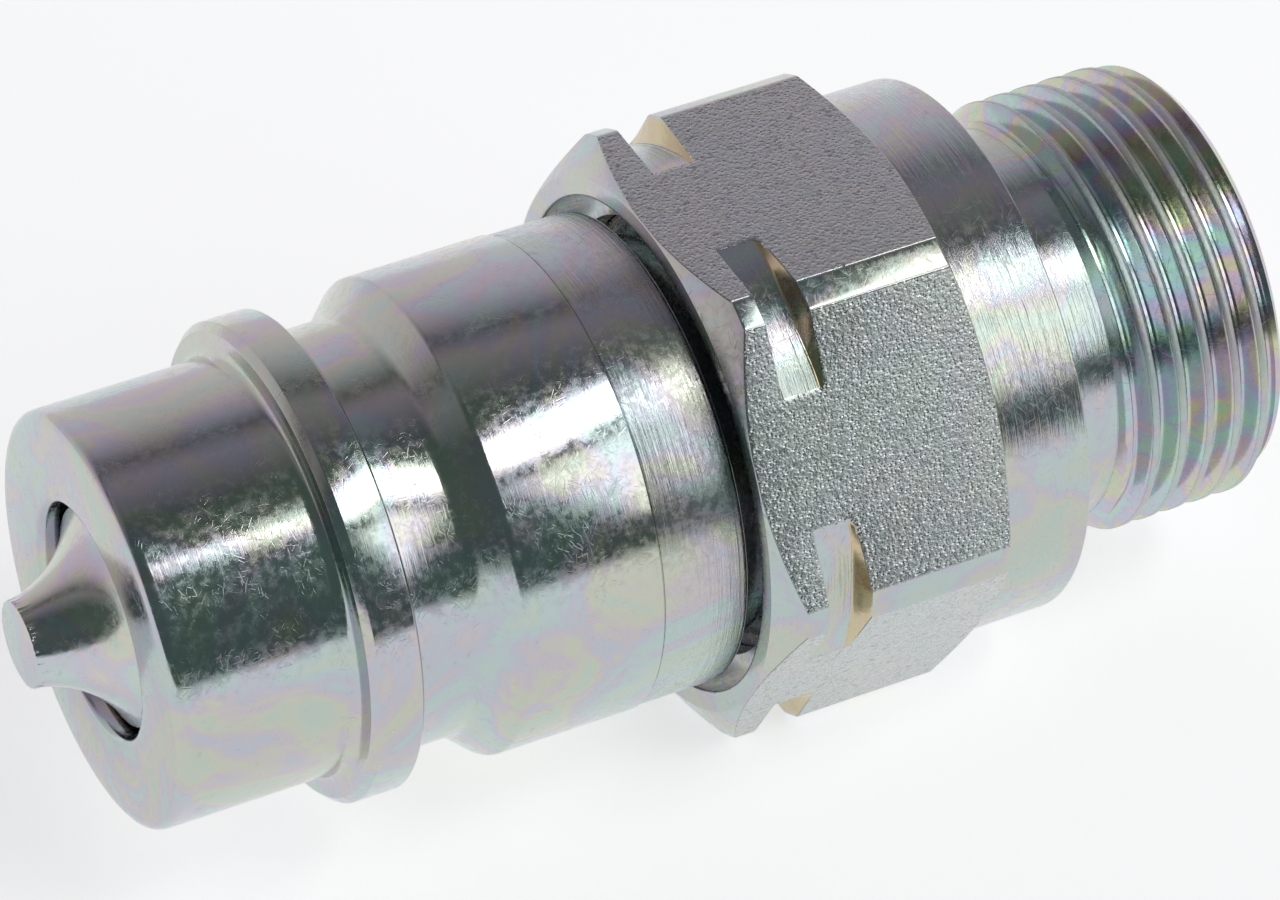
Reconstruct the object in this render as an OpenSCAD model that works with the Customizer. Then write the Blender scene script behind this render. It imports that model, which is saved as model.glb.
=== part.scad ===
// Plug half of a hydraulic quick coupling, with a sprung poppet valve.
// The part is turned about the X axis. X = 0 is the nose face that meets the
// socket half, +X runs towards the tube end, +Z is up and the lowest hex flat
// is the face that the plug rests on.

/* [Plug nose] */
// Diameter of the nose that enters the socket half
nose_d = 20.5; // [20:0.1:21.5]
// Length of the nose from its face to the collar
nose_len = 9.1; // [8.5:0.1:11]
// Radius that breaks the outer edge of the nose face
nose_edge_r = 0.6; // [0.2:0.1:1]
// Radius of the fillet between the nose and the collar
nose_fillet_r = 0.7; // [0.3:0.1:0.7]
// Diameter of the mouth that the poppet fills
mouth_d = 11.5; // [11:0.1:12]
// Radius of the rounded lip of the mouth
mouth_lip_r = 0.5; // [0.2:0.1:0.8]

/* [Collar, lock groove and barrel] */
// Diameter of the collar and of the barrel behind the lock groove
barrel_d = 23.7; // [23.4:0.1:24.4]
// Width of the collar
collar_w = 2.6; // [2:0.1:3.5]
// Chamfer on the front edge of the collar
collar_chamfer = 0.38; // [0.1:0.02:0.4]
// Diameter at the bottom of the groove that the lock balls drop into
groove_d = 20.65; // [19.6:0.05:21]
// Width of the flat bottom of the lock groove
groove_w = 3.65; // [3:0.05:5]
// Angle of the ramp that leads from the groove up to the barrel
ramp_angle = 44; // [35:1:60]
// Length of the ground stretch of the barrel
ground_len = 7.1; // [5:0.1:10]
// Length of the coarser turned stretch behind it
turned_len = 4.6; // [3:0.1:7]
// How much smaller the turned stretch is in diameter
turned_step = 0.16; // [0.04:0.02:0.3]
// Length of the tail that screws into the adapter
tail_len = 14; // [13:0.1:15]
// Major diameter of the thread on the tail
tail_thread_d = 22; // [21.6:0.1:22.4]
// Diameter of the spigot behind that thread
spigot_d = 20.1; // [19.7:0.1:20.4]

/* [Adapter] */
// Size across the flats of the hexagon
hex_af = 27; // [26.6:0.1:30]
// Diameter that the corners of the hexagon are turned to
hex_corner_d = 30.35; // [29.6:0.05:30.6]
// Length of the hexagon
hex_len = 12.6; // [11:0.1:16]
// Gap between the barrel's shoulder and the hexagon
hex_gap = 0.2; // [0.1:0.05:0.6]
// Angle of the chamfer on the front of the hexagon
hex_front_angle = 31; // [20:1:40]
// Angle of the chamfer on the rear of the hexagon
hex_rear_angle = 25; // [15:1:35]
// Diameter of the recess that the barrel's shoulder runs up to
recess_d = 24.8; // [24.4:0.1:25.2]
// Depth of that recess
recess_depth = 1.6; // [1:0.1:2.4]
// Diameter at the bottom of the mark groove, which cuts the corners only
mark_groove_d = 27.68; // [27.5:0.02:28.4]
// Width of the mark groove at its mouth
mark_groove_w = 2.3; // [1.5:0.1:3]
// Distance from the front of the hexagon to the mark groove
mark_groove_offset = 2.15; // [1.8:0.05:4]
// Diameter of the round flange behind the hexagon
flange_d = 26.92; // [26:0.02:26.98]
// Length of that flange
flange_len = 4.5; // [3.6:0.1:6]

/* [Tube end] */
// Major diameter of the tube end's thread
tube_thread_d = 22; // [21:0.5:24]
// Length from the flange to the end of the thread
stud_len = 12.4; // [11.6:0.1:16]
// Diameter of the relief between the flange and the thread
relief_d = 19.9; // [19:0.1:20.4]
// Length of that relief
relief_len = 3.5; // [2:0.1:4]
// Outer diameter of the tube that the socket takes
tube_d = 15; // [14:0.5:15.5]
// Depth of the socket from the end face to the tube stop
socket_depth = 7; // [6.5:0.1:8]
// Full angle of the cone that the cutting ring seals in
cone_angle = 24; // [20:1:28]
// Diameter of the mouth of that cone
cone_mouth_d = 17; // [16.6:0.1:17.6]
// Diameter of the passage through the adapter
passage_d = 12; // [10:0.5:13]

/* [Valve] */
// How far the poppet stands out of the nose face when closed
tip_out = 3.5; // [2.5:0.1:4]
// Diameter of the poppet's tip
tip_d = 4.3; // [3.6:0.1:5]
// Clearance all round between the poppet and the mouth
mouth_clearance = 0.3; // [0.3:0.05:0.5]
// Diameter of the chamber behind the valve seat
chamber_d = 15.7; // [15.4:0.1:16]
// Distance from the nose face to the start of the seat cone
seat_start = 2.6; // [2.3:0.1:3]
// Diameter of the poppet's flange
poppet_flange_d = 14; // [13.6:0.1:14.4]
// Thickness of the poppet's flange
poppet_flange_t = 1.5; // [1.3:0.1:2.4]
// Diameter of the poppet's stem
stem_d = 5; // [4.4:0.1:5.4]
// Wire diameter of the valve spring
spring_wire = 1; // [0.8:0.1:1.2]
// Number of coils of the valve spring
spring_coils = 6; // [5:1:7]
// Distance between the nose face and the guide's seat in the bore
guide_seat = 20; // [19:0.1:21.5]
// Diameter of the bore that the guide sits in
guide_d = 16.5; // [16.3:0.1:16.8]
// Length of the guide's rim
guide_rim_len = 2.6; // [2:0.1:3.4]
// Number of arms of the guide
guide_arms = 3; // [3:1:4]
// Width of each arm of the guide
arm_w = 2.6; // [2:0.1:3]

/* [Seals and clip] */
// Thickness of the retaining ring
clip_t = 1; // [0.8:0.1:1.4]
// Depth of the retaining ring's groove in the wall
clip_groove_depth = 0.5; // [0.4:0.05:0.6]
// Opening of the retaining ring, as an angle
clip_gap_angle = 40; // [25:1:60]
// Radial depth of the seal groove in the spigot
seal_groove_depth = 1.1; // [0.9:0.05:1.2]
// Width of the backup ring beside the tail seal
backup_w = 1; // [0.8:0.1:1.2]

/* [Hidden] */

// Clearances between pieces
thread_fit = 0.02;      // radial, between the tail's thread and the adapter's
spigot_fit = 0.1;       // radial, between the spigot and its bore
stem_fit = 0.05;        // radial, between the stem and the guide
seal_fit = 0.02;        // between a seal and each wall that holds it
seat_gap = 0.07;        // from the closed poppet seal to the seat, square to it
guide_fit = 0.04;       // radial, between the guide's rim and its bore
clip_fit = 0.03;        // axial, between the retaining ring and its neighbours

// Small edges
edge = 0.2;             // general edge break
collar_rear_chamfer = 0.14;
groove_fillet_r = 0.4;
ramp_fillet_r = 0.5;
ramp_crest_r = 0.35;
shoulder_edge_r = 0.4;
thread_end_chamfer = 0.75;
turn_fn = 96;           // true circles in the exact solids
bite = 1;               // how far a cutting tool runs past the material

// Stations along the axis
x_collar = nose_len;
x_groove = x_collar + collar_w;
x_ramp = x_groove + groove_w;
x_barrel = x_ramp + (barrel_d - groove_d) / 2 / tan(ramp_angle);
x_turned = x_barrel + ground_len;
x_shoulder = x_turned + turned_len;
x_tail = x_shoulder + tail_len;
x_hex = x_shoulder + hex_gap;
x_hex_end = x_hex + hex_len;
x_flange_end = x_hex_end + flange_len;
x_end = x_flange_end + stud_len;
x_relief_end = x_flange_end + relief_len;
x_stop = x_end - socket_depth;

// Tail and its seal
turned_d = barrel_d - turned_step;
tail_relief_len = 2;
tail_relief_d = tail_thread_d - 2;
spigot_len = 4.2;
x_spigot = x_tail - spigot_len;
spigot_bore_d = spigot_d + 2 * spigot_fit;
seal_bottom_r = spigot_d / 2 - seal_groove_depth;
seal_section_d = spigot_bore_d / 2 - seal_bottom_r - 2 * seal_fit;
seal_groove_w = seal_section_d + backup_w + 4 * seal_fit;
x_seal_groove = x_spigot + (spigot_len - seal_groove_w) / 2;

// Valve seat, poppet and seal
seat_angle = 45;
poppet_land_d = mouth_d - 2 * mouth_clearance;
x_seat_end = seat_start + (chamber_d - mouth_d) / 2 / tan(seat_angle);
seal_front = seat_start - 0.1;
seal_len = 2;
x_poppet_flange = seal_front + seal_len;
x_spring = x_poppet_flange + poppet_flange_t;
seal_core_d = poppet_land_d - 1.6;
seal_top_d = poppet_flange_d + 0.4;
flare_start_angle = 10;
flare_end_angle = 66;
flare_rim = 0.9;        // where the flare ends, behind the nose face
pilot_len = 1;
pilot_d = 8.4;
stem_end = guide_seat + 4.5;
tip_edge_r = 0.15;

// Guide, clip and spring
arm_front = guide_seat - 0.5;
hub_front = arm_front - 2;
guide_back = guide_seat + guide_rim_len;
hub_back = guide_back + 0.9;
hub_d = pilot_d;
rim_wall = 1.05;
x_clip = guide_back + clip_fit;
clip_groove_d = guide_d + 2 * clip_groove_depth;
clip_in_d = guide_d - 1.8;
spring_play = 0.05;     // from each end of the spring to its seat
spring_mean_r = pilot_d / 2 + 0.25 + spring_wire / 2;
spring_sides = 10;
spring_steps = 20;      // rings for each coil

// Points [r, x] on an arc about [r, x] = centre, from angle a0 to a1, where
// 0 degrees points outwards and 90 degrees points along +X.
function arc(centre, radius, a0, a1, n = 6) =
    [for (i = [0:n]) let (a = a0 + (a1 - a0) * i / n)
        centre + radius * [cos(a), sin(a)]];

// Turns a list of [r, x] points about the X axis.
module turned(points)
    rotate([0, 90, 0])
        rotate_extrude($fn = turn_fn)
            polygon(points);

// A plain ring between two radii and two stations.
module ring(r_in, r_out, x0, x1)
    turned([[r_in, x0], [r_out, x0], [r_out, x1], [r_in, x1]]);

// ---- Plug body -------------------------------------------------------------

function body_nose() = concat(
    arc([nose_d / 2 - nose_edge_r, nose_edge_r], nose_edge_r, -90, 0),
    arc([nose_d / 2 + nose_fillet_r, x_collar - nose_fillet_r], nose_fillet_r, 180, 90),
    [[barrel_d / 2 - collar_chamfer, x_collar],
     [barrel_d / 2, x_collar + collar_chamfer],
     [barrel_d / 2, x_groove - collar_rear_chamfer],
     [barrel_d / 2 - collar_rear_chamfer, x_groove]]);

// The lock groove: a square front wall, a flat bottom and a ramp with a
// rounded foot and crest.
function body_groove() =
    let (foot = ramp_fillet_r * tan(ramp_angle / 2),
         crest = ramp_crest_r * tan(ramp_angle / 2))
    concat(
        arc([groove_d / 2 + groove_fillet_r, x_groove + groove_fillet_r],
            groove_fillet_r, 270, 180, 4),
        arc([groove_d / 2 + ramp_fillet_r, x_ramp - foot],
            ramp_fillet_r, 180, 180 - ramp_angle, 4),
        arc([barrel_d / 2 - ramp_crest_r, x_barrel + crest],
            ramp_crest_r, -ramp_angle, 0, 4));

function body_barrel() = concat(
    [[barrel_d / 2, x_turned], [turned_d / 2, x_turned + turned_step / 2]],
    arc([turned_d / 2 - shoulder_edge_r, x_shoulder - shoulder_edge_r],
        shoulder_edge_r, 0, 90, 4));

function body_tail() =
    let (relief_end = x_shoulder + tail_relief_len,
         tail_r = tail_thread_d / 2 - thread_fit,
         run_in = (tail_thread_d - tail_relief_d) / 2,
         run_out = (tail_thread_d - spigot_d) / 2)
    [[tail_relief_d / 2, x_shoulder],
     [tail_relief_d / 2, relief_end],
     [tail_r, relief_end + run_in],
     [tail_r, x_spigot - run_out],
     [spigot_d / 2, x_spigot],
     [spigot_d / 2, x_seal_groove],
     [seal_bottom_r, x_seal_groove],
     [seal_bottom_r, x_seal_groove + seal_groove_w],
     [spigot_d / 2, x_seal_groove + seal_groove_w],
     [spigot_d / 2, x_tail - edge],
     [spigot_d / 2 - edge, x_tail]];

// The bore, from the tail forwards: the guide's seat, the chamber, the valve
// seat and the rounded mouth.
function body_bore() =
    let (clip_back = x_clip + clip_t + clip_fit)
    concat(
        [[guide_d / 2 + edge, x_tail],
         [guide_d / 2, x_tail - edge],
         [guide_d / 2, clip_back],
         [clip_groove_d / 2, clip_back],
         [clip_groove_d / 2, guide_back],
         [guide_d / 2, guide_back],
         [guide_d / 2, guide_seat],
         [chamber_d / 2, guide_seat],
         [chamber_d / 2, x_seat_end],
         [mouth_d / 2, seat_start]],
        arc([mouth_d / 2 + mouth_lip_r, mouth_lip_r], mouth_lip_r, 180, 270));

module plug_body() {
    color([0.74, 0.76, 0.77])
        turned(concat(body_nose(), body_groove(), body_barrel(), body_tail(), body_bore()));
}

// ---- Adapter ---------------------------------------------------------------

// A six-sided bar with one flat up and one flat down.
module hex_bar(x0, x1)
    translate([x0, 0, 0])
        rotate([0, 90, 0])
            rotate([0, 0, 30])
                cylinder(d = hex_af / cos(30), h = x1 - x0, $fn = 6);

// What turning leaves of the bar: round corners and a cone at each end.
module hex_envelope() {
    corner_r = hex_corner_d / 2;
    front_r = hex_af / 2 - 0.1;
    rear_r = flange_d / 2;
    turned([[0, x_hex],
            [front_r, x_hex],
            [corner_r, x_hex + (corner_r - front_r) * tan(hex_front_angle)],
            [corner_r, x_hex_end - (corner_r - rear_r) * tan(hex_rear_angle)],
            [rear_r, x_hex_end],
            [0, x_hex_end]]);
}

// The groove round the hexagon, which is shallower than the flats.
module mark_groove() {
    x0 = x_hex + mark_groove_offset;
    slant = 0.4;
    turned([[mark_groove_d / 2, x0],
            [hex_af, x0],
            [hex_af, x0 + mark_groove_w],
            [hex_corner_d / 2, x0 + mark_groove_w],
            [mark_groove_d / 2, x0 + mark_groove_w - slant]]);
}

module tube_stud() {
    flange_r = flange_d / 2;
    thread_r = tube_thread_d / 2;
    relief_r = relief_d / 2;
    turned([[0, x_hex_end - bite],
            [flange_r - edge, x_hex_end - bite],
            [flange_r, x_hex_end],
            [flange_r, x_flange_end - edge],
            [flange_r - edge, x_flange_end],
            [relief_r, x_flange_end],
            [relief_r, x_relief_end],
            [thread_r, x_relief_end + (thread_r - relief_r)],
            [thread_r, x_end - thread_end_chamfer],
            [thread_r - thread_end_chamfer, x_end],
            [0, x_end]]);
}

// The inside of the adapter: recess, tail thread, spigot bore, passage, tube
// socket and sealing cone.
module adapter_bore() {
    recess_r = recess_d / 2;
    spigot_r = spigot_bore_d / 2;
    tail_r = tail_thread_d / 2;
    lead = tail_r - spigot_r;
    cone_len = (cone_mouth_d - tube_d) / 2 / tan(cone_angle / 2);
    turned([[0, x_hex - bite],
            [recess_r + edge, x_hex - bite],
            [recess_r + edge, x_hex],
            [recess_r, x_hex + edge],
            [recess_r, x_hex + recess_depth],
            [tail_r, x_hex + recess_depth],
            [tail_r, x_spigot - lead],
            [spigot_r, x_spigot],
            [spigot_r, x_tail],
            [passage_d / 2, x_tail],
            [passage_d / 2, x_stop],
            [tube_d / 2, x_stop],
            [tube_d / 2, x_end - cone_len],
            [cone_mouth_d / 2, x_end],
            [cone_mouth_d / 2, x_end + bite],
            [0, x_end + bite]]);
}

module hex_adapter() {
    color([0.66, 0.68, 0.7])
        difference() {
            union() {
                intersection() {
                    hex_bar(x_hex, x_hex_end);
                    hex_envelope();
                }
                tube_stud();
            }
            mark_groove();
            adapter_bore();
        }
}

// ---- Valve -----------------------------------------------------------------

// The trumpet-shaped front of the poppet.
function poppet_flare() =
    let (rise = cos(flare_start_angle) - cos(flare_end_angle),
         flare_r = (poppet_land_d / 2 - 0.05 - tip_d / 2) / rise,
         run = flare_r * (sin(flare_end_angle) - sin(flare_start_angle)),
         centre = [tip_d / 2 + flare_r * cos(flare_start_angle),
                   flare_rim - run - flare_r * sin(flare_start_angle)])
    arc(centre, flare_r, 180 - flare_start_angle, 180 - flare_end_angle, 12);

module poppet() {
    land_r = poppet_land_d / 2;
    stem_r = stem_d / 2;
    color([0.78, 0.79, 0.8])
        turned(concat(
            [[0, -tip_out]],
            arc([tip_d / 2 - tip_edge_r, tip_edge_r - tip_out], tip_edge_r, -90, 0, 4),
            poppet_flare(),
            [[land_r, flare_rim + edge],
             [land_r, seal_front],
             [seal_core_d / 2, seal_front],
             [seal_core_d / 2, x_poppet_flange],
             [poppet_flange_d / 2, x_poppet_flange],
             [poppet_flange_d / 2, x_spring - edge],
             [poppet_flange_d / 2 - edge, x_spring],
             [pilot_d / 2, x_spring],
             [pilot_d / 2, x_spring + pilot_len - edge],
             [pilot_d / 2 - edge, x_spring + pilot_len],
             [stem_r, x_spring + pilot_len],
             [stem_r, stem_end - 2 * edge],
             [stem_r - 2 * edge, stem_end],
             [0, stem_end]]));
}

// A moulded ring that fills the poppet's groove and meets the seat cone.
module poppet_seal() {
    core_r = seal_core_d / 2 + seal_fit;
    x0 = seal_front + seal_fit;
    x1 = x_poppet_flange - seal_fit;
    top_r = seal_top_d / 2;
    // Radius of the seal's cone at station x, one seat_gap inside the seat
    cone_r0 = mouth_d / 2 + (x0 - seat_start) - seat_gap / cos(seat_angle);
    color([0.1, 0.1, 0.11])
        turned([[core_r, x0],
                [cone_r0, x0],
                [top_r, x0 + top_r - cone_r0],
                [top_r, x1],
                [core_r, x1]]);
}

// One closed coil at each end and open coils between them.
function coil_x(t) =
    let (turns = spring_coils, wire = spring_wire,
         x0 = x_spring + spring_play + wire / 2,
         x1 = arm_front - spring_play - wire / 2,
         pitch = (x1 - x0 - 2 * wire) / (turns - 2))
    t < 1 ? x0 + wire * t
    : t > turns - 1 ? x1 - wire * (turns - t)
    : x0 + wire + pitch * (t - 1);

module valve_spring() {
    rings = spring_coils * spring_steps;
    points = [for (i = [0:rings], k = [0:spring_sides - 1])
        let (turn = 360 * i / spring_steps,
             round_a = 360 * (k + 0.5) / spring_sides,
             r = spring_mean_r + spring_wire / 2 * cos(round_a),
             x = coil_x(i / spring_steps) + spring_wire / 2 * sin(round_a))
        [x, r * cos(turn), r * sin(turn)]];
    sides = [for (i = [0:rings - 1], k = [0:spring_sides - 1])
        let (a = i * spring_sides + k,
             b = i * spring_sides + (k + 1) % spring_sides)
        [a, b, b + spring_sides, a + spring_sides]];
    start = [for (k = [spring_sides - 1:-1:0]) k];
    end = [for (k = [0:spring_sides - 1]) rings * spring_sides + k];
    color([0.55, 0.56, 0.58])
        polyhedron(points, concat([start], sides, [end]), convexity = 10);
}

// A star: hub, arms and rim, with the spring seated on the arms.
module valve_guide() {
    rim_r = guide_d / 2 - guide_fit;
    color([0.72, 0.64, 0.42])
        difference() {
            union() {
                ring(0, hub_d / 2, hub_front, hub_back);
                ring(rim_r - rim_wall, rim_r, guide_seat, guide_back);
                for (i = [0:guide_arms - 1])
                    rotate([360 * i / guide_arms, 0, 0])
                        translate([arm_front, -arm_w / 2, 0])
                            cube([guide_back - arm_front, arm_w, rim_r - rim_wall / 2]);
            }
            ring(0, stem_d / 2 + stem_fit, hub_front - bite, hub_back + bite);
            // The arms' front ends clear the chamber wall
            ring(chamber_d / 2 - 0.5, guide_d, hub_front - bite, guide_seat);
        }
}

// An open ring that springs into its groove behind the guide.
module retaining_ring() {
    color([0.3, 0.31, 0.33])
        translate([x_clip, 0, 0])
            rotate([0, 90, 0])
                rotate([0, 0, clip_gap_angle / 2])
                    rotate_extrude(angle = 360 - clip_gap_angle, $fn = turn_fn)
                        translate([clip_in_d / 2, 0])
                            square([clip_groove_d / 2 - clip_fit - clip_in_d / 2, clip_t]);
}

// The O-ring in the spigot's groove, on the pressure side.
module tail_seal() {
    x = x_seal_groove + seal_groove_w - seal_fit - seal_section_d / 2;
    color([0.1, 0.1, 0.11])
        rotate([0, 90, 0])
            rotate_extrude($fn = turn_fn)
                translate([seal_bottom_r + seal_fit + seal_section_d / 2, x])
                    circle(d = seal_section_d, $fn = 48);
}

module backup_ring() {
    x0 = x_seal_groove + seal_fit;
    color([0.9, 0.9, 0.86])
        ring(seal_bottom_r + seal_fit, spigot_bore_d / 2 - seal_fit, x0, x0 + backup_w);
}

plug_body();
hex_adapter();
poppet();
poppet_seal();
valve_spring();
valve_guide();
retaining_ring();
tail_seal();
backup_ring();
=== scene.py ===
"""Quick coupling plug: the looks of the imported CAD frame.

The turned body, the adapter, the poppet and the spring are rebuilt here, with
rounded edges, a helical thread and round spring wire. The other inner pieces
keep their CAD meshes. Every piece gets a procedural material.
"""

import math
import random

import bmesh
import bpy
from mathutils import Matrix, Vector


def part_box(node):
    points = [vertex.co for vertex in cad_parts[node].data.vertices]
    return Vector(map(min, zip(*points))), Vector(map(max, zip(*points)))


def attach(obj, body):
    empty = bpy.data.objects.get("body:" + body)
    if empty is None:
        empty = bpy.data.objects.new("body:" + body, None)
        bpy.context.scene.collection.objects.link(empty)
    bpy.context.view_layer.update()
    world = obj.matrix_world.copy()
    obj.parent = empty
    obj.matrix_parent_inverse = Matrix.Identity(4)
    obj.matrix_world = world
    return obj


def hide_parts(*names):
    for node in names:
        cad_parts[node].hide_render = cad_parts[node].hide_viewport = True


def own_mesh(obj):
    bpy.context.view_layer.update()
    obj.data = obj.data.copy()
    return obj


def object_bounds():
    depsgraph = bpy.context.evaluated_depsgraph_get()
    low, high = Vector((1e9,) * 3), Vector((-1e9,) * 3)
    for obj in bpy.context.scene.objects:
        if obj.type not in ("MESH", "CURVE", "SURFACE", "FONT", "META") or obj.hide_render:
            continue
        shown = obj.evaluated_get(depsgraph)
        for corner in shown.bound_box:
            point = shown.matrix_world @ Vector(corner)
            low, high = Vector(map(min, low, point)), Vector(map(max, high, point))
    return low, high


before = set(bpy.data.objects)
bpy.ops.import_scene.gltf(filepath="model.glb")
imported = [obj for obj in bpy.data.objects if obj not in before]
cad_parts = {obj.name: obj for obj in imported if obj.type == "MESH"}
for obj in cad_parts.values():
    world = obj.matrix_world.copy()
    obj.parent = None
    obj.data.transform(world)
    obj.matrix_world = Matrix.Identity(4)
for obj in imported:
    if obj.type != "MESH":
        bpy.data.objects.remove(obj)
cad_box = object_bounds()

MM = 0.001

# ---- Sizes in millimetres, on the CAD model's axis: X from the nose face ----

NOSE_R = 10.25
BARREL_R = 11.85
GROOVE_R = 10.325
TURNED_R = 11.77
MOUTH_R = 5.75
CHAMBER_R = 7.85
GUIDE_R = 8.25
CLIP_R = 8.75
TAIL_RELIEF_R = 10.0
TAIL_R = 10.98
SPIGOT_R = 10.05
SEAL_GROOVE_R = 8.95

COLLAR_CHAMFER = 0.38
EDGE_CHAMFER = 0.14      # at the lock groove and at the barrel's rear edge
SHOULDER_GAP = 0.2
TAIL_RELIEF_LENGTH = 2
TAIL_THREAD_START = 3    # behind the shoulder
TAIL_THREAD_END = 5.15   # in front of the tail's end, as are the next two
BORE_CHAMFER_END = 5.05
SPIGOT_LENGTH = 4.2
SPIGOT_PLAY = 0.1
SEAL_INSET = 0.97        # from the spigot's start to its seal groove
SEAL_GROOVE_WIDTH = 2.26
SEAL_PLAY = 0.02
CLIP_PLAY = 0.03
CLIP_GROOVE_WIDTH = 1.06

X_SEAT = 2.6
X_COLLAR = 9.1
X_GROOVE = 11.7
X_RAMP = 15.35
X_BARREL = 16.93
X_GUIDE_STEP = 20
X_TURNED = 24.03
X_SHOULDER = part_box("hex_adapter")[0].x / MM - SHOULDER_GAP
X_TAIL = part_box("plug_body")[1].x / MM

HEX_R = 13.5             # centre to flat
CORNER_R = 15.175
HEX_EDGE_ROUND = 0.06
FACE_R = 13.4            # front face of the hexagon
FRONT_CHAMFER = math.radians(31)
REAR_CHAMFER = math.radians(25)
RECESS_R = 12.4
RECESS_DEPTH = 1.6
MARK_R = 13.84           # bottom of the mark groove
MARK_START = 2.15        # its front wall, behind the hexagon's face
MARK_FLOOR = 1.9
MARK_WIDTH = 2.3
FLANGE_R = 13.46
RELIEF_R = 9.95
THREAD_R = 11.0
THREAD_PITCH = 1.5
THREAD_DEPTH = 0.82
THREAD_CREST = 0.34
THREAD_FLANK = math.radians(30)
THREAD_RUN_IN = 1.05     # first root at the top, before the relief ends
THREAD_CHAMFER = 0.75
SOCKET_R = 7.5
SOCKET_DEPTH = 7
CONE_MOUTH_R = 8.5
CONE_ANGLE = math.radians(12)
PASSAGE_R = 6.0

HEX_LENGTH = 12.6
FLANGE_LENGTH = 4.5
RELIEF_LENGTH = 3.5

X_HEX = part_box("hex_adapter")[0].x / MM
X_HEX_END = X_HEX + HEX_LENGTH
X_FLANGE_END = X_HEX_END + FLANGE_LENGTH
X_RELIEF_END = X_FLANGE_END + RELIEF_LENGTH
X_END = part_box("hex_adapter")[1].x / MM
X_STOP = X_END - SOCKET_DEPTH

# ---- Mesh helpers ----------------------------------------------------------

EDGE_SHARE = 0.48        # the most of an edge that one fillet takes


def rounded(corners, arc_points=4):
    """Corners (x, r, fillet) joined into a profile, each fillet an arc."""
    out = []
    for i, (x, r, fillet) in enumerate(corners):
        here = Vector((x, r))
        if fillet <= 0 or i in (0, len(corners) - 1):
            out.append(here)
            continue
        before = Vector(corners[i - 1][:2]) - here
        after = Vector(corners[i + 1][:2]) - here
        if min(before.length, after.length) < 1e-5:
            out += [here] * (arc_points + 1)
            continue
        angle = before.angle(after)
        reach = min(fillet / math.tan(angle / 2), EDGE_SHARE * before.length,
                    EDGE_SHARE * after.length)
        start, end = here + before.normalized() * reach, here + after.normalized() * reach
        for k in range(arc_points + 1):
            t = k / arc_points
            out.append(start * (1 - t) ** 2 + here * (2 * t * (1 - t)) + end * t * t)
    return out


def ring_point(x, r, turn):
    """A point in metres at angle turn about the X axis, 0 being straight up."""
    return Vector((x, -r * math.sin(turn), r * math.cos(turn))) * MM


def add_grid(bm, columns, shift=0):
    """Faces between neighbouring columns of points, wrapping round the axis.

    shift joins the last column to the first one that many rows further on.
    """
    verts = [[bm.verts.new(p) for p in column] for column in columns]
    rows = len(verts[0])
    for j, left in enumerate(verts):
        last = j == len(verts) - 1
        right = verts[(j + 1) % len(verts)]
        for i in range(rows - 1):
            k = min(i + shift, rows - 2) if last else i
            quad = [left[i], right[k], right[k + 1], left[i + 1]]
            across, along = quad[0].co - quad[2].co, quad[1].co - quad[3].co
            if across.length > 1e-9 and along.length > 1e-9:
                bm.faces.new(quad)


def finish_mesh(bm, name, body, sharp_degrees=35):
    """Welds, tidies and shades the mesh, and puts it on its CAD body."""
    bmesh.ops.remove_doubles(bm, verts=bm.verts, dist=2e-7)
    bmesh.ops.dissolve_degenerate(bm, dist=1e-7, edges=bm.edges)
    bmesh.ops.recalc_face_normals(bm, faces=bm.faces)
    mesh = bpy.data.meshes.new(name)
    bm.to_mesh(mesh)
    bm.free()
    for face in mesh.polygons:
        face.use_smooth = True
    mesh.set_sharp_from_angle(angle=math.radians(sharp_degrees))
    obj = bpy.data.objects.new(name, mesh)
    bpy.context.scene.collection.objects.link(obj)
    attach(obj, body)
    return obj


def turns(count):
    """Even angles once round the axis."""
    return [2 * math.pi * j / count for j in range(count)]


def lathe(profile, count=192):
    """A bmesh turned about the X axis from a closed profile of (x, r)."""
    bm = bmesh.new()
    closed = list(profile) + [profile[0]]
    add_grid(bm, [[ring_point(p[0], p[1], a) for p in closed] for a in turns(count)])
    return bm


# ---- Plug body -------------------------------------------------------------


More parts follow.
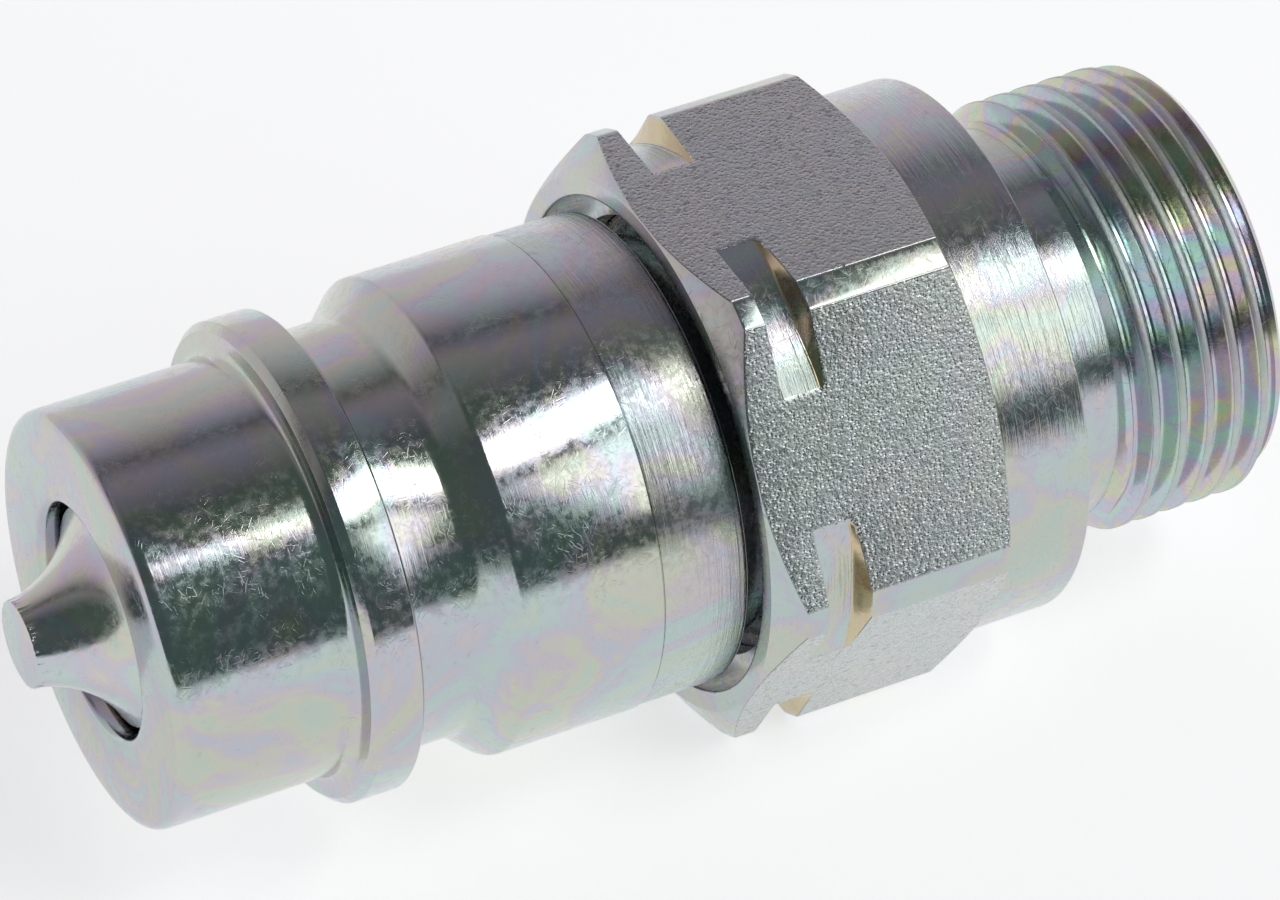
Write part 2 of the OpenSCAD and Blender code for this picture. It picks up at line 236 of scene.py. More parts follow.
def plug_body():
    """The turned body: nose, collar, lock groove, barrel and tail, with its bore."""
    seal_x = X_TAIL - SPIGOT_LENGTH + SEAL_INSET
    seal_end = seal_x + SEAL_GROOVE_WIDTH
    outer = [
        (0, MOUTH_R, 0.45), (0, NOSE_R, 0.6), (X_COLLAR, NOSE_R, 0.7),
        (X_COLLAR, BARREL_R - COLLAR_CHAMFER, 0.06), (X_COLLAR + COLLAR_CHAMFER, BARREL_R, 0.1),
        (X_GROOVE - EDGE_CHAMFER, BARREL_R, 0.06), (X_GROOVE, BARREL_R - EDGE_CHAMFER, 0.06),
        (X_GROOVE, GROOVE_R, 0.4), (X_RAMP, GROOVE_R, 0.9), (X_BARREL, BARREL_R, 0.4),
        (X_TURNED, BARREL_R, 0.03), (X_TURNED + 0.06, BARREL_R - EDGE_CHAMFER, 0.03),
        (X_TURNED + EDGE_CHAMFER, TURNED_R, 0.03), (X_SHOULDER, TURNED_R, 0.4),
        (X_SHOULDER, TAIL_RELIEF_R, 0.1),
        (X_SHOULDER + TAIL_RELIEF_LENGTH, TAIL_RELIEF_R, 0.1),
        (X_SHOULDER + TAIL_THREAD_START, TAIL_R, 0.1), (X_TAIL - TAIL_THREAD_END, TAIL_R, 0.1),
        (X_TAIL - SPIGOT_LENGTH, SPIGOT_R, 0.1), (seal_x, SPIGOT_R, 0.05),
        (seal_x, SEAL_GROOVE_R, 0.1), (seal_end, SEAL_GROOVE_R, 0.1),
        (seal_end, SPIGOT_R, 0.05), (X_TAIL, SPIGOT_R, 0.2)]
    clip_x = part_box("retaining_ring")[0].x / MM - CLIP_PLAY
    clip_end = clip_x + CLIP_GROOVE_WIDTH
    inner = [
        (X_TAIL, GUIDE_R, 0.2), (clip_end, GUIDE_R, 0.02), (clip_end, CLIP_R, 0.05),
        (clip_x, CLIP_R, 0.05), (clip_x, GUIDE_R, 0.02), (X_GUIDE_STEP, GUIDE_R, 0.05),
        (X_GUIDE_STEP, CHAMBER_R, 0.05), (X_SEAT + CHAMBER_R - MOUTH_R, CHAMBER_R, 0.2),
        (X_SEAT, MOUTH_R, 0.1)]
    corners = outer + inner
    ring = corners[-1:] + corners + corners[:1]
    profile = rounded(ring)[1:-1]
    return finish_mesh(lathe(profile), "plug_shell", "housing", 30)


# ---- Adapter ---------------------------------------------------------------


def soft_min(a, b, width):
    """The smaller of two values, with the corner between them rounded."""
    h = max(width - abs(a - b), 0) / width
    return min(a, b) - h * h * width / 4


def hex_radius(turn):
    """Centre to surface at that angle: six flats with turned corners."""
    sector = math.radians(60)
    off = (turn + sector / 2) % sector - sector / 2
    return soft_min(HEX_R / math.cos(off), CORNER_R, HEX_EDGE_ROUND)


def hex_turns():
    """Angles round the hexagon, closer together at its edges."""
    edge = math.degrees(math.acos(HEX_R / CORNER_R))
    mark = math.degrees(math.acos(HEX_R / MARK_R))
    half = [2.5, 5, 7.5, 10, mark - 0.5, mark, mark + 0.6, 15, 17.5, 20, 22.5, 25,
            edge - 0.9, edge - 0.5, edge - 0.25, edge, edge + 0.25, edge + 0.5, edge + 1.2]
    sector = [-30] + [-d for d in reversed(half)] + [0] + half
    return [math.radians(60 * k + d) for k in range(6) for d in sector]


def hex_profile(turn):
    """The outside from the recess to the start of the thread at that angle."""
    r = hex_radius(turn)
    groove_r = min(r, MARK_R)
    mark_x = X_HEX + MARK_START
    chamfer = (r - FACE_R) * math.tan(FRONT_CHAMFER)
    rear = (r - FLANGE_R) * math.tan(REAR_CHAMFER)
    return [
        (X_HEX + RECESS_DEPTH, RECESS_R, 0.2), (X_HEX, RECESS_R, 0.2), (X_HEX, FACE_R, 0.05),
        (X_HEX + chamfer, r, 0.1), (mark_x, r, 0.05), (mark_x, groove_r, 0.15),
        (mark_x + MARK_FLOOR, groove_r, 0.3), (mark_x + MARK_WIDTH, r, 0.06),
        (X_HEX_END - rear, r, 0.1), (X_HEX_END, FLANGE_R, 0.03),
        (X_FLANGE_END, FLANGE_R, 0.15), (X_FLANGE_END, RELIEF_R, 0.35),
        (X_RELIEF_END, RELIEF_R, 0)]


def thread_rows():
    """(distance along the pitch, depth below the crest) over one pitch."""
    crest, flank = THREAD_CREST / 2, math.tan(THREAD_FLANK)
    foot = crest + THREAD_DEPTH * flank
    # The small numbers round the edge of the crest and the corner of the root
    half = [(0.0, 0.0), (crest - 0.03, 0.0), (crest + 0.02, 0.03),
            (crest + 0.12, 0.12 / flank), (foot - 0.11, THREAD_DEPTH - 0.11 / flank),
            (foot - 0.04, THREAD_DEPTH - 0.05), (foot + 0.03, THREAD_DEPTH),
            (THREAD_PITCH / 2, THREAD_DEPTH)]
    return half + [(THREAD_PITCH - x, d) for x, d in reversed(half[1:-1])]


def thread_point(along, depth, x_shift):
    """A point of the thread, cut off by the relief cone and the end chamfer."""
    x = min(max(along + x_shift, X_RELIEF_END), X_END)
    rise = RELIEF_R + (x - X_RELIEF_END)
    chamfer = THREAD_R - max(0, x - (X_END - THREAD_CHAMFER))
    return x, min(THREAD_R - depth, rise, chamfer)


def adapter_inside():
    """From the thread's end face through the bore to the recess."""
    cone_x = X_END - (CONE_MOUTH_R - SOCKET_R) / math.tan(CONE_ANGLE)
    bore_r = SPIGOT_R + SPIGOT_PLAY
    return [
        (X_END, CONE_MOUTH_R, 0.1), (cone_x, SOCKET_R, 0.1), (X_STOP, SOCKET_R, 0.1),
        (X_STOP, PASSAGE_R, 0.15), (X_TAIL, PASSAGE_R, 0.1), (X_TAIL, bore_r, 0.05),
        (X_TAIL - SPIGOT_LENGTH, bore_r, 0.05), (X_TAIL - BORE_CHAMFER_END, THREAD_R, 0.05),
        (X_HEX + RECESS_DEPTH, THREAD_R, 0.05), (X_HEX + RECESS_DEPTH, RECESS_R, 0)]


def adapter():
    """Hexagon, flange, relief and right-hand thread, with the bore inside."""
    bm = bmesh.new()
    columns = hex_turns()
    rows = thread_rows()
    add_grid(bm, [[ring_point(*p, a) for p in rounded(hex_profile(a))] for a in columns])
    first = X_RELIEF_END - THREAD_RUN_IN - 1.5 * THREAD_PITCH
    laps = math.ceil((X_END - first) / THREAD_PITCH) + 1

    def thread_column(turn):
        lead = THREAD_PITCH * turn / (2 * math.pi)
        return [ring_point(*thread_point(first + lap * THREAD_PITCH + x, depth, lead), turn)
                for lap in range(laps) for x, depth in rows]

    threads = [thread_column(a) for a in columns]
    add_grid(bm, threads, shift=len(rows))
    inside = rounded(adapter_inside())
    add_grid(bm, [[threads[j][-1]] + [ring_point(*p, a) for p in inside]
                  for j, a in enumerate(columns)])
    return finish_mesh(bm, "adapter_shell", "housing", 32)


# ---- Poppet ----------------------------------------------------------------


def poppet():
    """Trumpet-shaped poppet with its seal groove, spring flange and stem."""
    tip_r, land_r, rim = 2.15, 5.45, 0.05
    x_land, x_rim = 0.9, 1.1
    groove_r, flange_r, spring_r, stem_r = 4.65, 7.0, 4.2, 2.5
    flange_length, pilot_length = 1.5, 1
    start, end = math.radians(10), math.radians(66)
    flare_r = (land_r - rim - tip_r) / (math.cos(start) - math.cos(end))
    x_flare = x_land - flare_r * math.sin(end)
    steps = 20
    flare = []
    for i in range(steps + 1):
        a = start + (end - start) * i / steps
        flare.append(Vector((x_flare + flare_r * math.sin(a),
                             tip_r + flare_r * (math.cos(start) - math.cos(a)))))
    seal_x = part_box("poppet_seal")[0].x / MM - SEAL_PLAY
    flange_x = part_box("poppet_seal")[1].x / MM + SEAL_PLAY
    spring_x = flange_x + flange_length
    stem_x = spring_x + pilot_length
    stem_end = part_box("poppet")[1].x / MM
    corners = [
        (x_land, land_r - rim, 0), (x_rim, land_r, 0.1), (seal_x, land_r, 0.05),
        (seal_x, groove_r, 0.1), (flange_x, groove_r, 0.1), (flange_x, flange_r, 0.05),
        (spring_x, flange_r, 0.25), (spring_x, spring_r, 0.15), (stem_x, spring_r, 0.2),
        (stem_x, stem_r, 0.15), (stem_end, stem_r, 0.4), (stem_end, 0.001, 0)]
    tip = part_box("poppet")[0].x / MM
    front = rounded([(tip, 0.001, 0), (tip, tip_r, 0.16),
                     (x_flare + flare_r * math.sin(start), tip_r, 0)])
    outline = front + flare[1:] + rounded(corners)[1:]
    bm = bmesh.new()
    rough = random.Random(7)
    columns = []
    for a in turns(160):
        # The rounded edge of the tip is slightly uneven
        wobble = rough.uniform(-0.025, 0.025)
        columns.append([ring_point(p[0], p[1] + (wobble if 2 <= i <= 6 else 0), a)
                        for i, p in enumerate(outline)])
    add_grid(bm, columns)
    bmesh.ops.remove_doubles(bm, verts=bm.verts, dist=2e-6)
    return finish_mesh(bm, "poppet_shell", "valve", 35)


# ---- Spring ----------------------------------------------------------------


def spring():
    """A round-wire coil, closed at both ends."""
    low, high = (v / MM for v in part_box("valve_spring"))
    wire_r, coils, steps, sides = 0.5, 6, 48, 16
    mean_r = high.z - wire_r
    x0, x1 = low.x + wire_r, high.x - wire_r
    pitch = (x1 - x0 - 4 * wire_r) / (coils - 2)
    rise = []
    for i in range(coils * steps + 1):
        t = i / steps
        rise.append(min(t, 1) * 2 * wire_r + min(max(t - 1, 0), coils - 2) * pitch
                    + max(t - coils + 1, 0) * 2 * wire_r)
    bm = bmesh.new()
    add_grid(bm, [[ring_point(x0 + along + wire_r * math.sin(a), mean_r + wire_r * math.cos(a),
                              -2 * math.pi * i / steps - math.pi / 2)
                   for i, along in enumerate(rise)] for a in turns(sides)])
    bmesh.ops.holes_fill(bm, edges=[e for e in bm.edges if e.is_boundary])
    obj = finish_mesh(bm, "spring_coil", "housing", 50)
    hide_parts("valve_spring")
    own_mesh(obj)
    return obj


# ---- Materials -------------------------------------------------------------


class Nodes:
    """A short way to add and join shader nodes."""

    def __init__(self, name):
        self.material = bpy.data.materials.new(name)
        self.material.use_nodes = True
        self.tree = self.material.node_tree
        self.tree.nodes.clear()
        self.out = self.tree.nodes.new("ShaderNodeOutputMaterial")
        self.bsdf = self.tree.nodes.new("ShaderNodeBsdfPrincipled")
        self.tree.links.new(self.bsdf.outputs[0], self.out.inputs["Surface"])
        coords = self.tree.nodes.new("ShaderNodeTexCoord")
        self.mm = self.vector_math("SCALE", coords.outputs["Object"], scale=1 / MM)

    def put(self, socket, value):
        if isinstance(value, bpy.types.NodeSocket):
            self.tree.links.new(value, socket)
        elif value is not None:
            socket.default_value = value

    def math(self, operation, a, b=None, c=None, clamp=False):
        node = self.tree.nodes.new("ShaderNodeMath")
        node.operation, node.use_clamp = operation, clamp
        for socket, value in zip(node.inputs, (a, b, c)):
            self.put(socket, value)
        return node.outputs[0]

    def vector_math(self, operation, a, b=None, scale=None):
        node = self.tree.nodes.new("ShaderNodeVectorMath")
        node.operation = operation
        self.put(node.inputs[0], a)
        self.put(node.inputs[1], b)
        self.put(node.inputs[3], scale)
        return node.outputs[1 if operation in ("DOT_PRODUCT", "LENGTH", "DISTANCE") else 0]

    def stretch(self, vector, x, y, z):
        return self.vector_math("MULTIPLY", vector, (x, y, z))

    def noise(self, vector, scale, detail=2.0, rough=0.5, distortion=0.0):
        node = self.tree.nodes.new("ShaderNodeTexNoise")
        self.put(node.inputs["Vector"], vector)
        self.put(node.inputs["Scale"], scale)
        self.put(node.inputs["Detail"], detail)
        self.put(node.inputs["Roughness"], rough)
        self.put(node.inputs["Distortion"], distortion)
        return node.outputs["Fac"]

    def cells(self, vector, scale):
        node = self.tree.nodes.new("ShaderNodeTexVoronoi")
        self.put(node.inputs["Vector"], vector)
        self.put(node.inputs["Scale"], scale)
        return node

    def smooth(self, value, low, high, to_low=0.0, to_high=1.0):
        node = self.tree.nodes.new("ShaderNodeMapRange")
        node.interpolation_type = "SMOOTHSTEP"
        for name, v in (("Value", value), ("From Min", low), ("From Max", high),
                        ("To Min", to_low), ("To Max", to_high)):
            self.put(node.inputs[name], v)
        return node.outputs["Result"]

    def ramp(self, value, stops):
        node = self.tree.nodes.new("ShaderNodeValToRGB")
        elements = node.color_ramp.elements
        while len(elements) < len(stops):
            elements.new(0.5)
        for element, (place, colour) in zip(elements, stops):
            element.position = place
            element.color = (*colour, 1)
        self.put(node.inputs[0], value)
        return node.outputs[0]

    def mix(self, factor, a, b, blend="MIX"):
        node = self.tree.nodes.new("ShaderNodeMix")
        node.data_type, node.blend_type = "RGBA", blend
        self.put(node.inputs[0], factor)
        for socket, value in ((node.inputs[6], a), (node.inputs[7], b)):
            self.put(socket, (*value, 1) if isinstance(value, tuple) else value)
        return node.outputs[2]

    def bump(self, height, depth_mm, normal=None):
        node = self.tree.nodes.new("ShaderNodeBump")
        self.put(node.inputs["Strength"], 1.0)
        self.put(node.inputs["Distance"], depth_mm * MM)
        self.put(node.inputs["Height"], height)
        self.put(node.inputs["Normal"], normal)
        return node.outputs[0]

    def set(self, **values):
        for name, value in values.items():
            self.put(self.bsdf.inputs[name.replace("_", " ")], value)


TINTS = [(0.0, (0.80, 1.0, 0.82)), (0.25, (1.0, 0.97, 0.72)), (0.45, (1.0, 0.82, 0.90)),
         (0.6, (0.86, 0.83, 1.0)), (0.8, (0.78, 0.99, 0.97)), (1.0, (0.86, 1.0, 0.82))]

TURNED_ZINC = (0.55, 0.57, 0.575)
POPPET_ZINC = (0.60, 0.61, 0.615)
FILM_ZINC = (0.57, 0.59, 0.595)
PALE_ZINC = (0.50, 0.52, 0.525)
FORGED_ZINC = (0.52, 0.54, 0.54)
GOLD = (0.62, 0.47, 0.24)
DUST = (0.30, 0.30, 0.27)
PIT = (0.2, 0.2, 0.2)
BLACK_RUBBER = (0.02, 0.02, 0.022)
ZINC_TINT = 0.6


def scratches(n, scale, width, length):
    """Short straight marks at random angles, one in each cell."""
    cell = n.cells(n.mm, scale)
    offset = n.vector_math("SUBTRACT", n.mm, cell.outputs["Position"])
    random_way = n.vector_math("SUBTRACT", cell.outputs["Color"], (0.5, 0.5, 0.5))
    lean = n.vector_math("NORMALIZE", random_way)
    across = n.math("ABSOLUTE", n.vector_math("DOT_PRODUCT", offset, lean))
    line = n.smooth(across, 0.0, width, 1.0, 0.0)
    reach = n.smooth(n.vector_math("LENGTH", offset), length * 0.6, length, 1.0, 0.0)
    return n.math("MULTIPLY", line, reach)


def lathe_lines(n, per_mm, wander=0.03):
    """Fine tool marks that run round the axis."""
    return n.noise(n.stretch(n.mm, 1.0, wander, wander), per_mm, 3.0, 0.6)


def tool_marks(n):
    """Coarse lathe lines with finer ones between them."""
    finer = n.math("MULTIPLY", lathe_lines(n, 16.0, 0.05), 0.5)
    return n.math("ADD", lathe_lines(n, 5.0), finer)


def iridescence(n, base, amount, scale=0.16):
    """The base colour, tinted in soft patches as thin passivation is."""
    patches = n.noise(n.mm, scale, 3.0, 0.55, 0.8)
    spread = n.smooth(patches, 0.3, 0.7)
    return n.mix(amount, base, n.mix(1.0, base, n.ramp(spread, TINTS), "MULTIPLY"))


def band(n, x, low, high, soft=0.03):
    """1 between two stations on the axis, 0 elsewhere."""
    rise = n.smooth(x, low - soft, low + soft)
    fall = n.smooth(x, high - soft, high + soft, 1.0, 0.0)
    return n.math("MULTIPLY", rise, fall)


def zinc(name, base, rough, marks, lines_in):
    """Bright zinc plate. lines_in is a list of (from x, to x, strength)."""
    n = Nodes(name)
    x = n.tree.nodes.new("ShaderNodeSeparateXYZ")
    n.put(x.inputs[0], n.mm)
    x = x.outputs[0]
    lathed = 0.06
    for low, high, strength in lines_in:
        here = n.math("MULTIPLY", band(n, x, low, high), strength)
        lathed = n.math("MAXIMUM", lathed, here)
    finer = n.math("MULTIPLY", scratches(n, 3.4, 0.016, 0.26), 0.8)
    worn = n.smooth(n.noise(n.mm, 0.5, 4.0, 0.7), 0.45, 0.65, 0.08, 1.0)
    marked = n.math("MAXIMUM", scratches(n, 1.7, 0.02, 0.42), finer)
    marked = n.math("MULTIPLY", n.math("MULTIPLY", marked, worn), marks)
    mottle = n.noise(n.mm, 2.2, 5.0, 0.65)
    roughness = n.math("MULTIPLY_ADD", n.smooth(mottle, 0.35, 0.7), 0.16, rough)
    roughness = n.math("MULTIPLY_ADD", marked, 0.3, roughness)
    roughness = n.math("MULTIPLY_ADD", lathed, 0.08, roughness, clamp=True)
    colour = iridescence(n, base, ZINC_TINT)
    dust = n.smooth(n.noise(n.mm, 1.1, 4.0, 0.7), 0.62, 0.72)
    colour = n.mix(n.math("MULTIPLY", dust, 0.25), colour, DUST)
    normal = n.bump(n.math("MULTIPLY", tool_marks(n), lathed), 0.035)
    normal = n.bump(n.math("MULTIPLY", marked, -1.0), 0.004, normal)
    normal = n.bump(mottle, 0.003, normal)
    n.set(Base_Color=colour, Metallic=1.0, Roughness=roughness, Normal=normal)
    return n.material


def forged_zinc():
    """The adapter: forged flats, and everything else turned."""
    n = Nodes("zinc_forged")
    parts = n.tree.nodes.new("ShaderNodeSeparateXYZ")
    n.put(parts.inputs[0], n.mm)
    x, y, z = parts.outputs
    radius = n.math("SQRT", n.math("ADD", n.math("MULTIPLY", y, y), n.math("MULTIPLY", z, z)))
    # The reach towards the nearest flat tells forged flats from turned faces
    reach = n.math("ABSOLUTE", z)
    for turn in (60, 120):
        a = math.radians(turn)
        along_y = n.math("MULTIPLY", y, -math.sin(a))
        along_z = n.math("MULTIPLY", z, math.cos(a))
        side = n.math("ABSOLUTE", n.math("ADD", along_y, along_z))
        reach = n.math("MAXIMUM", reach, side)
    on_flat = n.smooth(reach, HEX_R - 0.06, HEX_R - 0.02)
    inside_corner = n.smooth(radius, CORNER_R - 0.05, CORNER_R - 0.02, 1.0, 0.0)
    on_flat = n.math("MULTIPLY", on_flat, inside_corner)
    on_flat = n.math("MULTIPLY", on_flat, band(n, x, X_HEX + 0.05, X_HEX_END + 0.02, 0.01))
    grain = n.noise(n.mm, 5.5, 3.0, 0.6)
    pits = n.cells(n.mm, 4.2)
    pitted = n.smooth(pits.outputs["Distance"], 0.05, 0.5)
    blasted = n.math("ADD", n.math("MULTIPLY", grain, 0.7), n.math("MULTIPLY", pitted, 0.5))
    flange = band(n, x, X_HEX_END - 0.3, X_FLANGE_END)
    relief = band(n, x, X_FLANGE_END, X_RELIEF_END)
    mark = n.smooth(radius, MARK_R + 0.02, MARK_R + 0.05, 1.0, 0.0)
    mark = n.math("MULTIPLY", mark, band(n, x, X_HEX + 2.2, X_HEX + 4.1))
    lathed = n.math("MAXIMUM", n.math("MAXIMUM", flange, mark), n.math("MULTIPLY", relief, 0.6))
    lathed = n.math("MAXIMUM", lathed, 0.05)
    lathed = n.math("MULTIPLY", lathed, n.math("SUBTRACT", 1.0, on_flat))
    crest = n.smooth(radius, THREAD_R - 0.06, THREAD_R - 0.02)
    crest = n.math("MULTIPLY", crest, band(n, x, X_RELIEF_END, X_END + 1))
    thread = n.math("MULTIPLY", band(n, x, X_RELIEF_END, X_END + 1),
                    n.math("SUBTRACT", 1.0, crest))
    colour = n.mix(n.math("MULTIPLY_ADD", thread, 0.5, 0.5), PALE_ZINC,
                   iridescence(n, FILM_ZINC, 1.0, 0.2))
    colour = n.mix(n.math("MULTIPLY", on_flat, 0.75), colour, FORGED_ZINC)
    # The slanted rear wall of the mark groove is gold
    rear_wall = band(n, x, X_HEX + 4.02, X_HEX + 4.42)
    gold = n.math("MULTIPLY", rear_wall, n.math("SUBTRACT", 1.0, on_flat))
    below_edge = n.smooth(radius, CORNER_R - 0.12, CORNER_R - 0.06, 1.0, 0.0)
    gold = n.math("MULTIPLY", gold, below_edge)
    colour = n.mix(n.math("MULTIPLY", gold, 0.7), colour, GOLD)
    dark_pits = n.smooth(n.noise(n.mm, 3.0, 2.0, 0.5), 0.32, 0.42, 1.0, 0.0)
    dark_pits = n.math("MULTIPLY", dark_pits, on_flat)
    colour = n.mix(n.math("MULTIPLY", dark_pits, 0.45), colour, PIT)
    mottle = n.noise(n.mm, 2.4, 5.0, 0.65)
    rough = n.math("MULTIPLY_ADD", n.smooth(mottle, 0.35, 0.7), 0.12, 0.14)
    rough = n.math("MULTIPLY_ADD", on_flat, 0.06, rough)
    rough = n.math("MULTIPLY_ADD", crest, 0.25, rough)
    marked = scratches(n, 1.8, 0.03, 0.4)
    rough = n.math("MULTIPLY_ADD", marked, 0.15, rough, clamp=True)
    normal = n.bump(n.math("MULTIPLY", tool_marks(n), lathed), 0.035)
    normal = n.bump(n.math("MULTIPLY", blasted, on_flat), 0.06, normal)
    chatter = n.noise(n.mm, 7.0, 3.0, 0.6)
    normal = n.bump(n.math("MULTIPLY", chatter, crest), 0.03, normal)
    normal = n.bump(mottle, 0.003, normal)
    n.set(Base_Color=colour, Metallic=1.0, Roughness=rough, Normal=normal)
    return n.material


def plain_metal(name, base, rough):
    """Bare metal with a faint grain and fine lathe lines."""
    n = Nodes(name)
    grain = n.noise(n.mm, 2.0, 4.0, 0.6)
    colour = n.mix(n.smooth(grain, 0.35, 0.7), base, tuple(0.82 * c for c in base))
    roughness = n.math("MULTIPLY_ADD", grain, 0.2, rough)
    n.set(Base_Color=colour, Metallic=1.0, Roughness=roughness,
          Normal=n.bump(lathe_lines(n, 8.0), 0.01))
    return n.material


def soft_part(name, base, rough, grain_depth):
    """Rubber or plastic with a fine grain."""
    n = Nodes(name)
    grain = n.noise(n.mm, 6.0, 3.0, 0.6)
    colour = n.mix(n.smooth(grain, 0.3, 0.7), base, tuple(min(1.0, 1.35 * c) for c in base))
    n.set(Base_Color=colour, Metallic=0.0, Roughness=n.math("MULTIPLY_ADD", grain, 0.2, rough),
          Normal=n.bump(grain, grain_depth))
    return n.material


def give(obj, material):
    """Puts the material in every slot of a CAD or scene object."""
    if not obj.material_slots:
        obj.data.materials.append(material)
    for slot in obj.material_slots:
        slot.link = "OBJECT"
        slot.material = material


# ---- Stage, in metres ------------------------------------------------------

FLOOR_RADIUS = 0.26
FLOOR_CENTRE = (0.03, 0.03)
LIT_POINT = (0.03, 0, 0)

# The camera, in degrees and millimetres: it looks at a point on the axis,
# moved across and up in the picture
CAMERA_AZIMUTH, CAMERA_ELEVATION, CAMERA_ROLL = -27.4, 40.35, 0.68
CAMERA_DISTANCE, CAMERA_LENS = 351.16, 203.79
CAMERA_AIM = (40, 0, 0)
CAMERA_ACROSS, CAMERA_UP = 10.0, 3.46


def floor():
    """A round of white paper under the object."""
    low = cad_box[0].z
    bm = bmesh.new()
    bmesh.ops.create_circle(bm, cap_ends=True, segments=96, radius=FLOOR_RADIUS)
    mesh = bpy.data.meshes.new("floor")
    bm.to_mesh(mesh)
    bm.free()
    obj = bpy.data.objects.new("floor", mesh)
    obj.location = (*FLOOR_CENTRE, low)
    bpy.context.scene.collection.objects.link(obj)
    material = bpy.data.materials.new("floor_paper")
    material.use_nodes = True
    bsdf = material.node_tree.nodes["Principled BSDF"]
    bsdf.inputs["Base Color"].default_value = (0.80, 0.80, 0.80, 1)
    bsdf.inputs["Roughness"].default_value = 0.9
    bsdf.inputs["Specular IOR Level"].default_value = 0.0
    bsdf.inputs["Emission Color"].default_value = (1, 1, 1, 1)
    bsdf.inputs["Emission Strength"].default_value = 0.60
    mesh.materials.append(material)


def studio():
    """A room that is pale behind the object and dark behind the camera."""
    world = bpy.data.worlds.new("studio")
    bpy.context.scene.world = world
    world.use_nodes = True
    tree = world.node_tree
    coords = tree.nodes.new("ShaderNodeTexCoord")
    parts = tree.nodes.new("ShaderNodeSeparateXYZ")
    tree.links.new(coords.outputs["Generated"], parts.inputs[0])
    front = tree.nodes.new("ShaderNodeMath")
    front.operation = "MULTIPLY"
    front.inputs[1].default_value = -1
    tree.links.new(parts.outputs[1], front.inputs[0])
    height = tree.nodes.new("ShaderNodeMath")
    height.operation = "MAXIMUM"
    height.inputs[1].default_value = 0
    tree.links.new(parts.outputs[2], height.inputs[0])
    angle = tree.nodes.new("ShaderNodeMath")
    angle.operation = "ARCTAN2"
    tree.links.new(height.outputs[0], angle.inputs[0])
    tree.links.new(front.outputs[0], angle.inputs[1])
    share = tree.nodes.new("ShaderNodeMath")
    share.operation = "DIVIDE"
    share.inputs[1].default_value = math.pi
    tree.links.new(angle.outputs[0], share.inputs[0])
    ramp = tree.nodes.new("ShaderNodeValToRGB")
    # Degrees above the horizon in front, over the top and down to the back
    stops = [(0, (0.07, 0.10, 0.092)), (45, (0.085, 0.118, 0.11)), (85, (0.075, 0.10, 0.096)),
             (98, (0.17, 0.175, 0.195)), (111, (0.27, 0.255, 0.29)), (122, (0.115, 0.115, 0.12)),
             (134, (0.38, 0.36, 0.40)), (147, (0.60, 0.55, 0.60)), (165, (0.72, 0.66, 0.72)),
             (180, (0.75, 0.71, 0.75))]
    elements = ramp.color_ramp.elements
    while len(elements) < len(stops):
        elements.new(0.5)
    for element, (degrees, colour) in zip(elements, stops):
        element.position = degrees / 180
        element.color = (*colour, 1)
    tree.links.new(share.outputs[0], ramp.inputs[0])
    seen = tree.nodes.new("ShaderNodeLightPath")
    backdrop = tree.nodes.new("ShaderNodeMix")
    backdrop.data_type = "RGBA"
    backdrop.inputs[7].default_value = (1, 1, 1, 1)
    tree.links.new(seen.outputs["Is Camera Ray"], backdrop.inputs[0])
    tree.links.new(ramp.outputs[0], backdrop.inputs[6])
    tree.links.new(backdrop.outputs[2], tree.nodes["Background"].inputs["Color"])


def softbox(name, azimuth, elevation, distance, width, height, power):
    """An area light that faces the object from azimuth and elevation in degrees."""
    a, e = math.radians(azimuth), math.radians(elevation)
    away = Vector((math.sin(a) * math.cos(e), -math.cos(a) * math.cos(e), math.sin(e)))
    light = bpy.data.lights.new(name, "AREA")
    light.shape, light.size, light.size_y, light.energy = "RECTANGLE", width, height, power
    obj = bpy.data.objects.new(name, light)
    obj.location = Vector(LIT_POINT) + away * distance
    obj.rotation_mode = "QUATERNION"
    obj.rotation_quaternion = away.to_track_quat("Z", "Y")
    bpy.context.scene.collection.objects.link(obj)


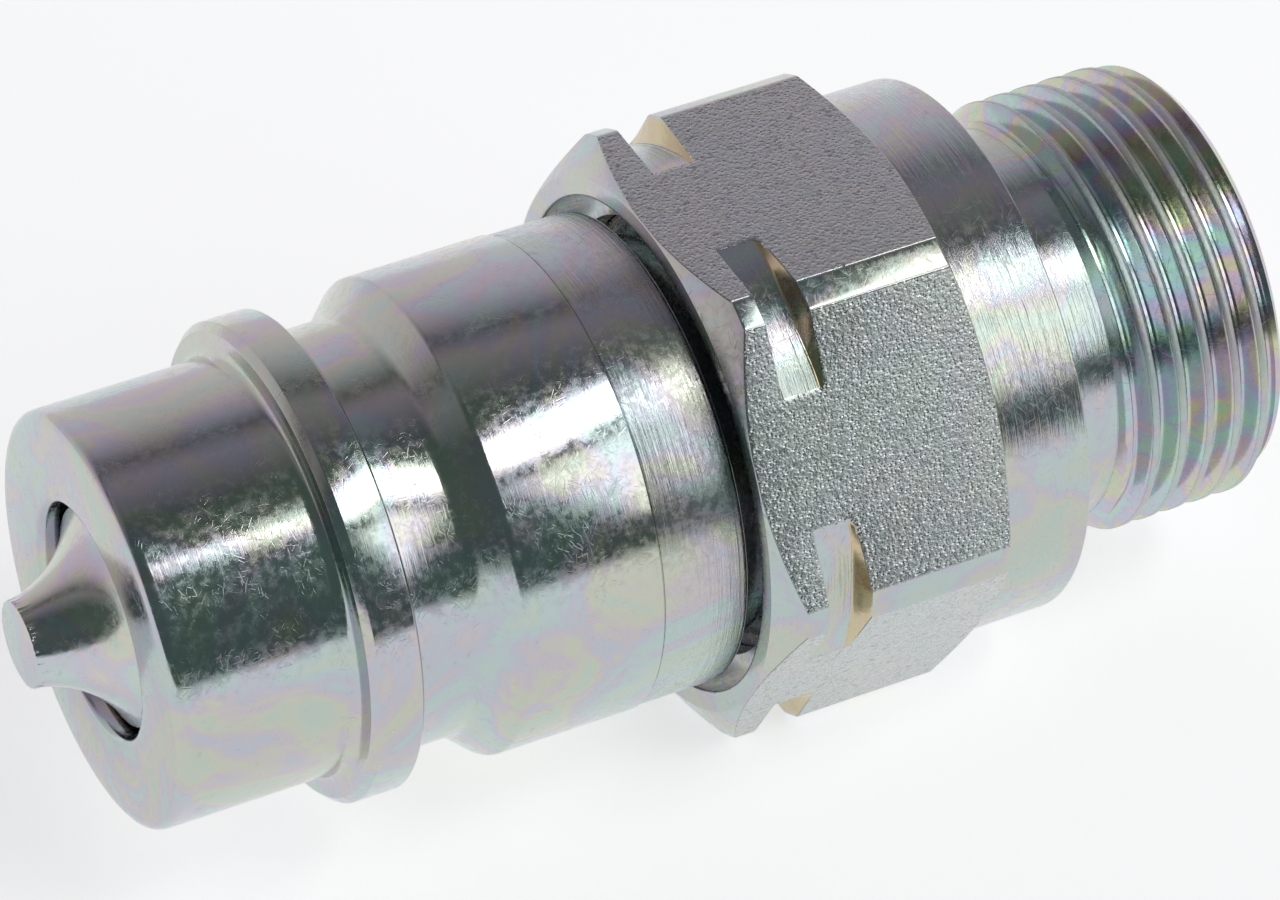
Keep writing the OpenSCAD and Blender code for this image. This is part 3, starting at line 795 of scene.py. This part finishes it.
def camera():
    """The camera, where the photo was taken from."""
    azimuth, elevation = math.radians(CAMERA_AZIMUTH), math.radians(CAMERA_ELEVATION)
    roll = math.radians(CAMERA_ROLL)
    back = Vector((math.sin(azimuth) * math.cos(elevation),
                   -math.cos(azimuth) * math.cos(elevation), math.sin(elevation)))
    level = Vector((math.cos(azimuth), math.sin(azimuth), 0))
    upright = back.cross(level)
    right = level * math.cos(roll) + upright * math.sin(roll)
    up = upright * math.cos(roll) - level * math.sin(roll)
    aim = Vector(CAMERA_AIM) - right * CAMERA_ACROSS - up * CAMERA_UP
    data = bpy.data.cameras.new("camera")
    data.sensor_width = 36
    data.lens = CAMERA_LENS
    data.clip_start, data.clip_end = 0.01, 50
    obj = bpy.data.objects.new("camera", data)
    turn = Matrix((right, up, back)).transposed().to_4x4()
    obj.matrix_world = Matrix.Translation((aim + back * CAMERA_DISTANCE) * MM) @ turn
    bpy.context.scene.collection.objects.link(obj)
    bpy.context.scene.camera = obj


# ---- Assembly --------------------------------------------------------------

camera()
floor()
studio()
softbox("key_softbox", azimuth=42, elevation=57, distance=1.0,
        width=0.52, height=0.20, power=1.45)
softbox("window", azimuth=50, elevation=29, distance=1.1,
        width=0.96, height=0.66, power=3.3)

shell = plug_body()
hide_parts("plug_body")
give(shell, zinc("zinc_turned", TURNED_ZINC, rough=0.10, marks=0.7, lines_in=[
    (X_TURNED + 0.1, X_SHOULDER - 0.3, 1.0), (X_GROOVE, X_BARREL, 0.12)]))
hexagon = adapter()
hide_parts("hex_adapter")
give(hexagon, forged_zinc())
valve = poppet()
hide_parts("poppet")
give(valve, zinc("zinc_poppet", POPPET_ZINC, rough=0.12, marks=0.5, lines_in=[(2.5, 40, 0.2)]))

give(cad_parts["valve_guide"], plain_metal("guide_steel", (0.60, 0.58, 0.50), 0.25))
give(spring(), plain_metal("spring_wire", (0.55, 0.56, 0.58), 0.2))
give(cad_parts["retaining_ring"], plain_metal("clip_steel", (0.35, 0.36, 0.38), 0.3))
give(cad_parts["poppet_seal"], soft_part("nitrile", BLACK_RUBBER, 0.45, 0.005))
give(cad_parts["tail_seal"], soft_part("o_ring_rubber", BLACK_RUBBER, 0.45, 0.005))
give(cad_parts["backup_ring"], soft_part("backup_plastic", (0.7, 0.7, 0.66), 0.4, 0.003))

bpy.context.scene.view_settings.view_transform = "Standard"
